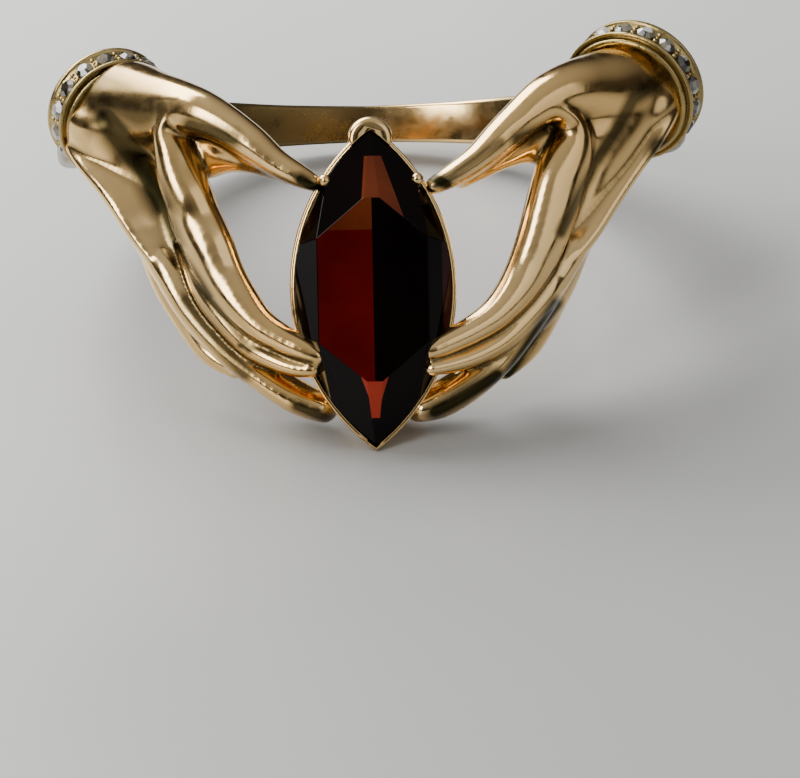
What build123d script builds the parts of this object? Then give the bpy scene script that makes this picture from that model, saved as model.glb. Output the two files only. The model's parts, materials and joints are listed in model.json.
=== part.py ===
# Gold finger ring whose front is two cast hands holding a marquise garnet.
# Each hand comes out of a cuff set with small round stones, and a plain shank joins the cuffs at the back.
# Everything is built in the worn frame first: Z along the finger, the front at -Y, the left hand at -X.
# At the end the whole ring is leaned over until it lies on its fingertips and the back of its shank.
# Millimetres and degrees.
import os
from math import cos, degrees, radians, sin, sqrt

from build123d import *

# Finger hole and shank
bore_diameter = 17.2
shank_thick = 1.3
shank_wide = 1.35
shank_corner = 0.25
bore_stock = 0.5

# Garnet: a marquise with a small flat table
stone_long = 10.0
stone_wide = 5.0
crown_high = 0.85
girdle_high = 0.15
pavilion_deep = 2.0
stone_lift = 2.6
stone_drop = 0.2
stone_gap = 0.04

# Setting: a tapered marquise collet, open at the back, with a rounded claw over the upper tip
collet_wall = 0.16
collet_deep = 2.2
collet_foot_long = 0.78
collet_foot_wide = 0.62
collet_foot_wall = 0.35
collet_hole_long = 0.70
collet_hole_wide = 0.46
cap_radius = 0.72
cap_deep = 1.5
cap_edge = 0.2
claw_radius = 0.2
claw_sink = 0.08
claw_rise = 0.345

# Cuffs
cuff_lift = 2.15
cuff_turn = 29.0
cuff_dip = 24.0
cuff_wide = 1.1
cuff_lip = 0.14
cuff_groove = 0.12
cuff_dish = 0.18
cuff_angle = {"left": 50.0, "right": 52.5}
cuff_radius = {"left": 2.12, "right": 2.3}
cuff_rise = {"left": 0.3, "right": 0.72}

# Cuff stones: small round brilliants in drilled seats
bead_radius = 0.32
bead_crown = 0.12
bead_girdle = 0.03
bead_pavilion = 0.24
bead_gap = 0.03
bead_bridge = 0.1
bead_count = 11
bead_sides = 8

# Breadths that the section tables take their shares of
palm_breadth = 4.0
thumb_breadth = 2.4
finger_breadth = 1.4

bore_radius = bore_diameter / 2
shank_outer = bore_radius + shank_thick
girdle_radius = bore_radius + stone_lift
stone_centre = -stone_drop - stone_long / 2
sides = {"left": -1, "right": 1}
cuff_reach = {side: (bore_radius + cuff_lift) * sin(radians(cuff_angle[side])) for side in sides}

# Sections of each hand, from the cuff to the tips. The columns are shares:
# spread, 0 at the side of the stone and 1 at the cuff; drop, of the stone's length below the shank's middle;
# lift, of the stone's height off the finger hole; wide and thick, of the limb's breadth.
wrist_rows = {
    "left": [
        (1.04, -0.050, 0.80, 0.97, 0.97),
        (0.98, -0.018, 0.85, 0.96, 0.96),
        (0.94, 0.003, 0.89, 0.85, 0.85),
        (0.91, 0.019, 0.93, 0.62, 0.62),
    ],
    "right": [
        (1.04, -0.092, 0.80, 0.97, 0.97),
        (0.98, -0.060, 0.84, 0.95, 0.95),
        (0.94, -0.039, 0.88, 0.85, 0.85),
        (0.91, -0.023, 0.91, 0.62, 0.62),
    ],
}
palm_rows = {
    "left": [
        (0.98, -0.022, 0.84, 0.82, 0.82),
        (0.86, 0.112, 0.79, 0.88, 0.68),
        (0.78, 0.257, 0.71, 0.78, 0.55),
        (0.67, 0.397, 0.69, 0.55, 0.47),
        (0.53, 0.549, 0.69, 0.53, 0.40),
        (0.33, 0.678, 0.69, 0.42, 0.35),
    ],
    "right": [
        (0.99, -0.064, 0.84, 0.82, 0.82),
        (0.81, 0.100, 0.79, 0.78, 0.70),
        (0.71, 0.245, 0.71, 0.70, 0.57),
        (0.61, 0.390, 0.69, 0.53, 0.50),
        (0.50, 0.549, 0.69, 0.50, 0.40),
        (0.30, 0.673, 0.69, 0.42, 0.35),
    ],
}
thumb_rows = {
    "left": [
        (0.98, -0.018, 0.85, 1.08, 1.08),
        (0.82, -0.060, 0.87, 0.96, 0.96),
        (0.65, -0.064, 0.98, 0.79, 0.79),
        (0.49, -0.043, 1.04, 0.65, 0.67),
        (0.35, 0.000, 1.04, 0.54, 0.58),
        (0.21, 0.059, 1.04, 0.48, 0.52),
        (0.09, 0.114, 1.04, 0.38, 0.46),
        (-0.03, 0.156, 1.06, 0.33, 0.40),
        (-0.12, 0.182, 1.08, 0.25, 0.31),
    ],
    "right": [
        (0.98, -0.060, 0.84, 1.13, 1.13),
        (0.84, -0.096, 0.87, 0.96, 0.96),
        (0.68, -0.100, 1.00, 0.79, 0.79),
        (0.53, -0.069, 1.04, 0.67, 0.67),
        (0.40, -0.013, 1.04, 0.56, 0.58),
        (0.27, 0.053, 1.04, 0.48, 0.52),
        (0.15, 0.115, 1.04, 0.38, 0.46),
        (0.03, 0.163, 1.06, 0.33, 0.40),
        (-0.09, 0.200, 1.08, 0.25, 0.31),
    ],
}
web_rows = {
    "left": [
        (0.70, 0.022, 0.73, 1.29, 1.14),
        (0.59, 0.062, 0.73, 1.64, 1.07),
        (0.48, 0.089, 0.75, 1.21, 0.93),
        (0.37, 0.106, 0.77, 0.71, 0.79),
        (0.27, 0.113, 0.85, 0.43, 0.57),
    ],
    "right": [
        (0.68, 0.026, 0.73, 1.29, 1.14),
        (0.59, 0.051, 0.73, 1.57, 1.07),
        (0.50, 0.069, 0.75, 1.07, 0.93),
        (0.41, 0.077, 0.77, 0.64, 0.79),
        (0.33, 0.086, 0.85, 0.43, 0.57),
    ],
}
index_rows = {
    "left": [
        (0.72, -0.059, 0.77, 0.57, 0.79),
        (0.68, 0.006, 1.00, 0.71, 1.00),
        (0.65, 0.096, 1.08, 0.89, 1.07),
        (0.60, 0.199, 1.08, 1.14, 1.07),
        (0.55, 0.289, 1.08, 1.25, 1.07),
        (0.48, 0.379, 1.08, 1.25, 1.04),
        (0.41, 0.472, 1.08, 1.14, 0.96),
        (0.31, 0.558, 1.10, 0.96, 0.93),
        (0.20, 0.628, 1.12, 0.77, 0.86),
        (0.07, 0.676, 1.13, 0.66, 0.79),
        (-0.04, 0.707, 1.17, 0.59, 0.68),
        (-0.12, 0.729, 1.21, 0.46, 0.54),
    ],
    "right": [
        (0.74, -0.071, 0.77, 0.57, 0.79),
        (0.68, 0.007, 0.98, 0.79, 1.00),
        (0.63, 0.096, 1.06, 1.14, 1.07),
        (0.59, 0.192, 1.08, 1.32, 1.07),
        (0.54, 0.287, 1.08, 1.32, 1.07),
        (0.48, 0.388, 1.08, 1.21, 1.04),
        (0.41, 0.477, 1.08, 1.07, 0.96),
        (0.32, 0.557, 1.10, 0.89, 0.93),
        (0.21, 0.621, 1.12, 0.73, 0.86),
        (0.08, 0.666, 1.13, 0.64, 0.79),
        (-0.04, 0.698, 1.17, 0.57, 0.68),
        (-0.12, 0.718, 1.21, 0.46, 0.54),
    ],
}
middle_rows = {
    "left": [
        (0.59, 0.363, 0.81, 0.57, 0.79),
        (0.47, 0.512, 0.96, 0.82, 1.00),
        (0.36, 0.611, 1.00, 0.70, 0.93),
        (0.23, 0.691, 1.02, 0.61, 0.86),
        (0.09, 0.738, 1.06, 0.51, 0.79),
        (-0.02, 0.760, 1.10, 0.44, 0.71),
        (-0.10, 0.765, 1.15, 0.36, 0.57),
    ],
    "right": [
        (0.62, 0.382, 0.81, 0.57, 0.79),
        (0.51, 0.526, 0.96, 0.82, 1.00),
        (0.39, 0.619, 1.00, 0.70, 0.93),
        (0.25, 0.698, 1.02, 0.61, 0.86),
        (0.10, 0.744, 1.06, 0.51, 0.79),
        (-0.03, 0.766, 1.10, 0.44, 0.71),
        (-0.12, 0.776, 1.15, 0.36, 0.57),
    ],
}
flank_rows = {
    "left": [
        (1.27, -0.040, 0.77, 0.93, 1.43),
        (1.12, 0.101, 0.88, 1.00, 1.57),
        (1.00, 0.220, 0.90, 1.00, 1.50),
        (0.85, 0.337, 0.90, 0.96, 1.39),
        (0.70, 0.450, 0.87, 0.90, 1.21),
    ],
    "right": [
        (1.15, -0.068, 0.77, 0.79, 1.43),
        (1.04, 0.044, 0.87, 0.93, 1.57),
        (0.92, 0.151, 0.89, 1.00, 1.50),
        (0.81, 0.256, 0.90, 1.00, 1.43),
        (0.70, 0.364, 0.89, 0.96, 1.32),
        (0.57, 0.468, 0.87, 0.90, 1.21),
    ],
}
ring_rows = {
    "left": [
        (0.84, 0.347, 0.87, 0.71, 1.07),
        (0.70, 0.450, 0.88, 0.91, 1.25),
        (0.55, 0.599, 0.85, 0.82, 1.25),
        (0.35, 0.724, 0.81, 0.75, 1.36),
        (0.17, 0.805, 0.77, 0.75, 1.43),
        (-0.00, 0.870, 0.73, 0.79, 1.50),
        (-0.16, 0.908, 0.77, 0.68, 1.29),
    ],
    "right": [
        (0.69, 0.374, 0.87, 0.71, 1.07),
        (0.57, 0.467, 0.88, 0.91, 1.25),
        (0.42, 0.610, 0.83, 0.86, 1.25),
        (0.26, 0.735, 0.79, 0.86, 1.36),
        (0.10, 0.825, 0.75, 0.86, 1.43),
        (-0.07, 0.886, 0.73, 0.86, 1.50),
        (-0.20, 0.914, 0.77, 0.64, 1.29),
    ],
}
little_rows = {
    "left": [
        (0.84, 0.389, 0.65, 0.50, 0.71),
        (0.73, 0.510, 0.65, 0.68, 0.93),
        (0.61, 0.630, 0.60, 0.71, 0.86),
        (0.49, 0.732, 0.54, 0.64, 0.71),
        (0.35, 0.786, 0.54, 0.46, 0.57),
    ],
    "right": [
        (0.70, 0.390, 0.65, 0.50, 0.71),
        (0.61, 0.502, 0.65, 0.68, 0.93),
        (0.51, 0.630, 0.60, 0.68, 0.86),
        (0.41, 0.735, 0.54, 0.61, 0.71),
        (0.28, 0.806, 0.54, 0.46, 0.57),
    ],
}
limbs = [
    (wrist_rows, palm_breadth),
    (palm_rows, palm_breadth),
    (thumb_rows, thumb_breadth),
    (web_rows, finger_breadth),
    (index_rows, finger_breadth),
    (middle_rows, finger_breadth),
    (flank_rows, finger_breadth),
    (ring_rows, finger_breadth),
    (little_rows, finger_breadth),
]

# Sections of the shank, from the middle of the back to the inside of a cuff. Turn is the share of the way
# round to the cuff; wide and thick are shares of the shank's width and thickness; lift and rise are shares of
# the cuff's own place off the finger hole and above the shank's middle.
shank_rows = [
    (0.00, 1.00, 1.00, 0.0, 0.0),
    (0.17, 1.15, 1.00, 0.0, 0.0),
    (0.34, 1.45, 1.00, 0.0, 0.0),
    (0.51, 1.80, 1.05, 0.0, 0.0),
    (0.68, 2.00, 1.20, 0.05, 0.1),
    (0.83, 2.10, 1.55, 0.3, 0.4),
    (0.95, 2.05, 1.95, 0.75, 0.9),
    (1.00, 1.90, 1.95, 0.95, 1.1),
]

# Facets of the garnet, one row for each angle round a quarter of the stone, counted from its side: how far in
# the crown facet meets the table, and how far in the pavilion facet meets the keel, as shares of the distance
# from the middle to the outline.
facet_rows = [
    (0.0, 0.30, 1.0),
    (25.0, 0.20, 1.0),
    (50.0, 0.38, 1.0),
    (90.0, 0.42, 1.0),
]


def hand_point(side, spread, drop, lift):
    reach = stone_wide / 2 + spread * (cuff_reach[side] - stone_wide / 2)
    radius = bore_radius + lift * stone_lift
    return Vector(sides[side] * reach, -sqrt(radius**2 - reach**2), -drop * stone_long)


def section_planes(points):
    planes = []
    for i, point in enumerate(points):
        before = points[max(i - 1, 0)]
        after = points[min(i + 1, len(points) - 1)]
        along = (after - before).normalized()
        outward = Vector(point.X, point.Y, 0)
        across = along.cross(outward).normalized()
        planes.append(Plane(origin=point, x_dir=across, z_dir=along))
    return planes


def limb_sections(side, rows, breadth):
    planes = section_planes([hand_point(side, *row[:3]) for row in rows])
    return [(plane, breadth * row[3] / 2, breadth * row[4] / 2) for plane, row in zip(planes, rows)]


def limb(side, rows, breadth):
    with BuildPart() as solid:
        for plane, half_wide, half_thick in limb_sections(side, rows, breadth):
            with BuildSketch(plane):
                Ellipse(half_wide, half_thick)
        loft(ruled=True)
    return solid.part


def shank_sections(side):
    far_turn = 180 - cuff_angle[side] - degrees(cuff_wide / (bore_radius + cuff_lift)) / 2
    points = []
    for turn, wide, thick, lift, rise in shank_rows:
        angle = radians(turn * far_turn)
        radius = bore_radius + (shank_thick * thick - bore_stock) / 2 + lift * cuff_lift / 2
        height = rise * cuff_rise[side]
        points.append(Vector(sides[side] * radius * sin(angle), radius * cos(angle), height))
    planes = section_planes([Vector(-points[1].X, points[1].Y, points[1].Z)] + points)[1:]
    sizes = [(shank_wide * row[1], shank_thick * row[2] + bore_stock) for row in shank_rows]
    return [(plane, wide / 2, thick / 2) for plane, (wide, thick) in zip(planes, sizes)]


def shank_half(side):
    with BuildPart() as solid:
        for plane, half_wide, half_thick in shank_sections(side):
            with BuildSketch(plane):
                RectangleRounded(2 * half_wide, 2 * half_thick, shank_corner)
        loft()
    return solid.part


def cuff_axis(side):
    turn = radians(cuff_turn)
    dip = radians(cuff_dip)
    return Vector(-sides[side] * sin(turn) * cos(dip), -cos(turn) * cos(dip), -sin(dip))


def cuff_centre(side):
    radius = bore_radius + cuff_lift
    return Vector(sides[side] * cuff_reach[side], -radius * cos(radians(cuff_angle[side])), cuff_rise[side])


def cuff_outward(side):
    centre = cuff_centre(side)
    outward = Vector(centre.X, centre.Y, 0)
    return (outward - cuff_axis(side) * outward.dot(cuff_axis(side))).normalized()


def cuff(side):
    radius = cuff_radius[side]
    floor = radius - cuff_groove
    across = cuff_outward(side)
    profile_plane = Plane(origin=cuff_centre(side), x_dir=across, z_dir=across.cross(cuff_axis(side)))
    with BuildPart() as solid:
        with BuildSketch(profile_plane):
            with BuildLine():
                Polyline(
                    (0, -cuff_wide),
                    (radius, -cuff_wide),
                    (radius, -cuff_wide + cuff_lip),
                    (floor, -cuff_wide + cuff_lip),
                    (floor, -cuff_lip),
                    (radius, -cuff_lip),
                    (radius, 0),
                    (radius - cuff_lip, 0),
                    (radius - cuff_lip - cuff_dish, -cuff_dish),
                    (0, -cuff_dish),
                    close=True,
                )
            make_face()
        revolve(axis=Axis(cuff_centre(side), cuff_axis(side)))
    return solid.part


def bead_planes(side):
    floor = cuff_radius[side] - cuff_groove
    step = (2 * (bead_radius + bead_gap) + bead_bridge) / floor
    axis = cuff_axis(side)
    outward = cuff_outward(side)
    round_axis = axis.cross(outward)
    planes = []
    for number in range(bead_count):
        angle = (number - (bead_count - 1) / 2) * step
        away = outward * cos(angle) + round_axis * sin(angle)
        middle = cuff_centre(side) - axis * (cuff_wide / 2)
        planes.append(Plane(origin=middle + away * floor, x_dir=axis, z_dir=away))
    return planes


def bead_stone(plane):
    heights = [-bead_pavilion, 0, bead_girdle, bead_girdle + bead_crown]
    radii = [bead_radius * 0.12, bead_radius, bead_radius, bead_radius * 0.56]
    with BuildPart() as stone:
        for height, radius in zip(heights, radii):
            with BuildSketch(plane.offset(height)):
                RegularPolygon(radius, bead_sides)
        loft(ruled=True)
    return stone


def bead_seat(plane):
    with BuildPart() as seat:
        with BuildSketch(plane.offset(-bead_pavilion - bead_gap)):
            Circle(bead_radius + bead_gap)
        extrude(amount=bead_pavilion + 2 * bead_crown + cuff_groove)
    return seat.part


def stone_plane(height):
    return Plane(origin=(0, -girdle_radius - height, stone_centre), x_dir=(1, 0, 0), z_dir=(0, -1, 0))


def marquise(plane, long, wide, grow):
    with BuildSketch(plane) as outline:
        with BuildLine():
            ThreePointArc((0, long / 2), (wide / 2, 0), (0, -long / 2))
            ThreePointArc((0, -long / 2), (-wide / 2, 0), (0, long / 2))
        make_face()
        if grow:
            offset(amount=grow, kind=Kind.ARC)
    return outline.sketch


def outline_reach(angle):
    # Distance from the stone's middle to the tangent of its outline that faces this way
    arc = (stone_long**2 + stone_wide**2) / (4 * stone_wide)
    if angle >= 90:
        return stone_long / 2
    centre = arc - stone_wide / 2
    touch = arc - centre * cos(radians(angle))
    tip = stone_long / 2 * sin(radians(angle))
    return tip if sin(radians(angle)) * arc > stone_long / 2 else touch


def facet_planes(gap):
    planes = []
    for angle, table_in, keel_in in facet_rows:
        reach = outline_reach(angle)
        turns = {angle, -angle, 180 - angle, 180 + angle} if 0 < angle < 90 else {angle, angle + 180}
        for turn in sorted(turns):
            outward = Vector(cos(radians(turn)), 0, sin(radians(turn)))
            front = Vector(0, -1, 0)
            for facing, high, share in ((1, crown_high, table_in), (-1, pavilion_deep, keel_in)):
                normal = (outward * high + front * facing * share * reach).normalized()
                touch = stone_plane(facing * girdle_high / 2).origin + outward * reach
                planes.append(Plane(origin=touch + normal * gap, z_dir=normal))
    return planes


def cut_marquise(gap):
    # The stone itself with no gap, and the pocket that it sits in with one
    with BuildPart() as stone:
        add(marquise(stone_plane(-pavilion_deep - gap), stone_long, stone_wide, gap))
        extrude(amount=pavilion_deep + crown_high + girdle_high / 2 + 2 * gap, dir=(0, -1, 0))
        for plane in facet_planes(gap):
            split(bisect_by=plane, keep=Keep.BOTTOM)
    return stone


def tip_cap():
    middle = stone_long / 2 + collet_wall / 2 - cap_radius / 2
    with BuildPart() as cap:
        with BuildSketch(stone_plane(girdle_high - cap_deep)):
            with Locations((0, middle)):
                Circle(cap_radius)
        extrude(amount=cap_deep)
        chamfer(cap.edges().sort_by(Axis.Y)[0], cap_edge)
    return cap.part


def claw_spots():
    # Where the two bead claws hold the edge of the stone, at the tips of the thumbs
    arc = (stone_long**2 + stone_wide**2) / (4 * stone_wide)
    rise = claw_rise * stone_long
    spread = sqrt(arc**2 - rise**2) - (arc - stone_wide / 2)
    plane = stone_plane(girdle_high / 2 + claw_radius - claw_sink)
    return [plane.from_local_coords((side * spread, rise, 0)) for side in sides.values()]


def setting():
    with BuildPart() as collet:
        foot_long = stone_long * collet_foot_long
        foot_wide = stone_wide * collet_foot_wide
        add(marquise(stone_plane(-collet_deep), foot_long, foot_wide, collet_foot_wall))
        add(marquise(stone_plane(girdle_high), stone_long, stone_wide, collet_wall))
        loft()
        hole_plane = stone_plane(-collet_deep - collet_wall)
        add(marquise(hole_plane, stone_long * collet_hole_long, stone_wide * collet_hole_wide, 0))
        extrude(amount=collet_deep + collet_wall, dir=(0, -1, 0), mode=Mode.SUBTRACT)
        add(tip_cap())
        with Locations(*claw_spots()):
            Sphere(claw_radius)
    return collet.part


def lowest_spot(sections, down):
    # The section point that lies furthest along a direction, for elliptical sections
    best = None
    for plane, half_wide, half_thick in sections:
        wide = half_wide * plane.x_dir.dot(down)
        thick = half_thick * plane.y_dir.dot(down)
        size = sqrt(wide**2 + thick**2)
        spot = plane.origin + plane.x_dir * (half_wide * wide / size) + plane.y_dir * (half_thick * thick / size)
        if best is None or spot.dot(down) > best.dot(down):
            best = spot
    return best


def rest_plane():
    # The floor's plane under the two ring fingers and the shank's outer edge, found by leaning again and again
    fingers = {side: limb_sections(side, ring_rows[side], finger_breadth) for side in sides}
    back = Vector(0, shank_outer, -shank_wide / 2)
    up = Vector(0, 0, 1)
    for _ in range(12):
        left = lowest_spot(fingers["left"], up * -1)
        right = lowest_spot(fingers["right"], up * -1)
        up = (right - left).cross(back - left).normalized()
    forward = (Vector(0, 1, 0) - up * up.Y).normalized()
    return Plane(origin=(0, 0, 0), x_dir=forward.cross(up), z_dir=up)


# Gold: shank, hands, cuffs and setting are cast and soldered into one solid
with BuildPart() as worn_gold:
    for side in sides:
        add(shank_half(side))
        add(cuff(side))
        for rows, breadth in limbs:
            add(limb(side, rows[side], breadth))
    add(setting())
    with BuildSketch(Plane.XY.offset(-2 * stone_long)):
        Circle(bore_radius)
    extrude(amount=4 * stone_long, mode=Mode.SUBTRACT)
    for side in sides:
        for plane in bead_planes(side):
            add(bead_seat(plane), mode=Mode.SUBTRACT)
    add(cut_marquise(stone_gap).part, mode=Mode.SUBTRACT)

worn_pieces = {"gold_ring": worn_gold.part, "garnet": cut_marquise(0).part}
for side in sides:
    for number, plane in enumerate(bead_planes(side), start=1):
        worn_pieces[f"cuff_stone_{side}_{number:02d}"] = bead_stone(plane).part

# Lay the whole ring down, with the middle of its outline over the origin and its lowest point on the floor
leaned = rest_plane().location.inverse()
box = Compound(children=[piece.moved(leaned) for piece in worn_pieces.values()]).bounding_box()
laid = Location((-box.center().X, -box.center().Y, -box.min.Z)) * leaned

os.makedirs("parts", exist_ok=True)
for name, worn_piece in worn_pieces.items():
    with BuildPart() as piece:
        add(worn_piece.moved(laid))
    piece.part.label = name
    export_step(piece.part, f"parts/{name}.step")
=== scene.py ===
# Gold ring of two cast hands that hold a marquise garnet, lying on a pale table.
# The hands are laid out in the ring's own worn frame, in millimetres: Z runs along the finger,
# -Y is the front with the stone and the left hand is at -X.
import json
from math import acos, cos, degrees, pi, radians, sin, sqrt

import bmesh
import bpy
from mathutils import Matrix, Vector


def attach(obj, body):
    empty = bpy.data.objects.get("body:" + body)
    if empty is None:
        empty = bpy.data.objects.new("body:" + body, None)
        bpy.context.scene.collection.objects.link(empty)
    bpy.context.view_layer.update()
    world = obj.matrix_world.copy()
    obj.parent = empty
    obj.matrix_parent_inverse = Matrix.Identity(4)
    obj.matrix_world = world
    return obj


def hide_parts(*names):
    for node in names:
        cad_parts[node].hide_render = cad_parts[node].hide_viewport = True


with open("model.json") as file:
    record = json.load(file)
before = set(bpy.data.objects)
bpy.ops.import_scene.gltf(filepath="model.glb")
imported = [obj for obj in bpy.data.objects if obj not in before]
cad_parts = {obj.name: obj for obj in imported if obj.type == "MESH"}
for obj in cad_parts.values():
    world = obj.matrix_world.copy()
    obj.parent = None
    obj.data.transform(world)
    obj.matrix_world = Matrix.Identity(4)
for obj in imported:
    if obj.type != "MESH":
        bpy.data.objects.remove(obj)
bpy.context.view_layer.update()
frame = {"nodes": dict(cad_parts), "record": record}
mm = 0.001

# The finger hole is the one interface of the ring, so the worn frame is read from it
hole = frame["record"]["mounts"][0]
wornUp = Vector(hole["axis"]).normalized()
wornBack = Vector((0, wornUp.z, -wornUp.y)).normalized()
wornRight = wornBack.cross(wornUp)
wornFrame = Matrix((wornRight, wornBack, wornUp)).transposed().to_4x4()
wornFrame.translation = Vector(hole["pos_m"])
wornFrame = wornFrame @ Matrix.Scale(mm, 4)

ring = {"bore": 8.6, "thick": 1.3, "wide": 1.35}
stone = {"long": 10.0, "wide": 5.0, "lift": 2.6, "drop": 0.2}
cuffs = {
    "lift": 2.15, "turn": 29.0, "dip": 24.0, "wide": 1.1, "lip": 0.14, "groove": 0.12,
    "edge": 0.03, "slope": 0.02, "steps": 120, "merge": 0.0005,
    "angle": {"left": 50.0, "right": 52.5}, "radius": {"left": 2.12, "right": 2.3},
    "rise": {"left": 0.3, "right": 0.72},
    "frontRows": [  # inset from the radius and height of the front lip and the second ring inside it
        (0, -0.04), (0.04, 0), (0.09, 0), (0.13, -0.04), (0.17, -0.12), (0.20, -0.12),
        (0.22, 0.02), (0.19, 0.08), (0.19, 0.13), (0.24, 0.18), (0.34, 0.18), (0.38, 0.10),
    ],
}
sides = {"left": -1, "right": 1}
cuffReach = {side: (ring["bore"] + cuffs["lift"]) * sin(radians(cuffs["angle"][side])) for side in sides}
stoneMiddle = Vector((0, -ring["bore"] - stone["lift"], -stone["drop"] - stone["long"] / 2))

# Rows of each limb from the cuff to the tip: spread from the stone's side to the cuff, drop along the stone,
# lift off the finger hole, and the limb's width and thickness as shares of its breadth
palmRows = {
    "left": [
        (0.99, -0.026, 0.83, 0.82, 0.82),
        (1.02, 0.006, 0.83, 0.85, 0.80),
        (0.96, 0.072, 0.81, 0.75, 0.71),
        (0.89, 0.148, 0.75, 0.68, 0.62),
        (0.81, 0.224, 0.71, 0.62, 0.53),
        (0.74, 0.293, 0.69, 0.57, 0.47),
        (0.67, 0.397, 0.69, 0.55, 0.47),
        (0.53, 0.549, 0.69, 0.53, 0.40),
        (0.33, 0.678, 0.69, 0.42, 0.35),
    ],
    "right": [
        (0.99, -0.068, 0.83, 0.80, 0.80),
        (0.90, 0.009, 0.83, 0.80, 0.72),
        (0.81, 0.100, 0.81, 0.72, 0.65),
        (0.72, 0.229, 0.75, 0.65, 0.57),
        (0.61, 0.390, 0.69, 0.53, 0.50),
        (0.50, 0.549, 0.69, 0.50, 0.40),
        (0.30, 0.673, 0.69, 0.42, 0.35),
    ],
}
backRows = {
    "left": [
        (0.98, -0.018, 0.85, 0.82, 0.82),
        (0.96, -0.023, 0.87, 0.70, 0.55),
        (0.82, -0.015, 0.90, 0.50, 0.40),
        (0.73, -0.001, 0.94, 0.25, 0.28),
    ],
    "right": [
        (0.98, -0.060, 0.84, 0.82, 0.82),
        (0.90, 0.009, 0.90, 0.72, 0.60),
        (0.78, 0.040, 0.94, 0.60, 0.47),
        (0.68, 0.058, 0.96, 0.35, 0.33),
    ],
}
thumbRows = {
    "left": [
        (1.04, -0.050, 0.80, 1.62, 1.62),
        (0.99, -0.026, 0.83, 1.58, 1.58),
        (0.95, -0.075, 0.83, 1.31, 1.33),
        (0.78, -0.069, 0.92, 1.02, 1.04),
        (0.64, -0.064, 0.98, 0.81, 0.81),
        (0.49, -0.043, 1.04, 0.65, 0.67),
        (0.35, 0.000, 1.04, 0.54, 0.58),
        (0.21, 0.059, 1.04, 0.48, 0.52),
        (0.09, 0.114, 1.04, 0.38, 0.46),
        (-0.03, 0.156, 1.06, 0.33, 0.40),
        (-0.12, 0.182, 1.08, 0.25, 0.31),
    ],
    "right": [
        (1.04, -0.092, 0.80, 1.62, 1.62),
        (0.99, -0.068, 0.83, 1.56, 1.56),
        (0.94, -0.089, 0.85, 1.29, 1.29),
        (0.79, -0.096, 0.92, 1.02, 1.04),
        (0.67, -0.096, 1.00, 0.81, 0.81),
        (0.53, -0.069, 1.04, 0.67, 0.67),
        (0.40, -0.013, 1.04, 0.56, 0.58),
        (0.27, 0.053, 1.04, 0.48, 0.52),
        (0.15, 0.115, 1.04, 0.38, 0.46),
        (0.03, 0.163, 1.06, 0.33, 0.40),
        (-0.09, 0.200, 1.08, 0.25, 0.31),
    ],
}
webRows = {
    "left": [
        (0.71, 0.022, 0.73, 1.29, 1.14),
        (0.59, 0.056, 0.71, 1.57, 1.00),
        (0.48, 0.070, 0.73, 1.43, 0.93),
        (0.36, 0.077, 0.77, 1.07, 0.86),
        (0.23, 0.097, 0.83, 0.79, 0.79),
        (0.11, 0.130, 0.90, 0.57, 0.64),
        (0.00, 0.166, 0.98, 0.39, 0.50),
    ],
    "right": [
        (0.69, 0.026, 0.73, 1.29, 1.14),
        (0.59, 0.048, 0.71, 1.50, 1.00),
        (0.49, 0.059, 0.73, 1.29, 0.93),
        (0.39, 0.071, 0.77, 1.00, 0.86),
        (0.27, 0.104, 0.83, 0.79, 0.79),
        (0.15, 0.150, 0.90, 0.57, 0.64),
        (0.05, 0.189, 0.98, 0.39, 0.50),
    ],
}
indexRows = {
    "left": [
        (0.25, 0.036, 1.10, 0.29, 0.57),
        (0.36, -0.013, 1.10, 0.36, 0.71),
        (0.48, -0.046, 1.10, 0.39, 0.79),
        (0.58, -0.057, 1.10, 0.43, 0.86),
        (0.65, -0.035, 1.10, 0.50, 0.93),
        (0.68, 0.013, 1.10, 0.64, 1.07),
        (0.66, 0.077, 1.12, 0.86, 1.11),
        (0.63, 0.154, 1.12, 1.07, 1.14),
        (0.58, 0.228, 1.10, 1.18, 1.14),
        (0.55, 0.289, 1.08, 1.25, 1.07),
        (0.48, 0.379, 1.08, 1.25, 1.04),
        (0.41, 0.472, 1.08, 1.14, 0.96),
        (0.31, 0.558, 1.10, 0.96, 0.93),
        (0.20, 0.628, 1.12, 0.77, 0.86),
        (0.07, 0.676, 1.13, 0.66, 0.79),
        (-0.04, 0.707, 1.17, 0.59, 0.68),
        (-0.12, 0.729, 1.21, 0.46, 0.54),
    ],
    "right": [
        (0.26, 0.040, 1.10, 0.29, 0.57),
        (0.34, 0.003, 1.10, 0.36, 0.71),
        (0.44, -0.025, 1.10, 0.39, 0.79),
        (0.53, -0.037, 1.10, 0.43, 0.86),
        (0.62, -0.013, 1.10, 0.57, 0.93),
        (0.66, 0.035, 1.08, 0.82, 1.00),
        (0.65, 0.103, 1.08, 1.14, 1.07),
        (0.59, 0.192, 1.08, 1.32, 1.07),
        (0.54, 0.287, 1.08, 1.32, 1.07),
        (0.48, 0.388, 1.08, 1.21, 1.04),
        (0.41, 0.477, 1.08, 1.07, 0.96),
        (0.32, 0.557, 1.10, 0.89, 0.93),
        (0.21, 0.621, 1.12, 0.73, 0.86),
        (0.08, 0.666, 1.13, 0.64, 0.79),
        (-0.04, 0.698, 1.17, 0.57, 0.68),
        (-0.12, 0.718, 1.21, 0.46, 0.54),
    ],
}
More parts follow.
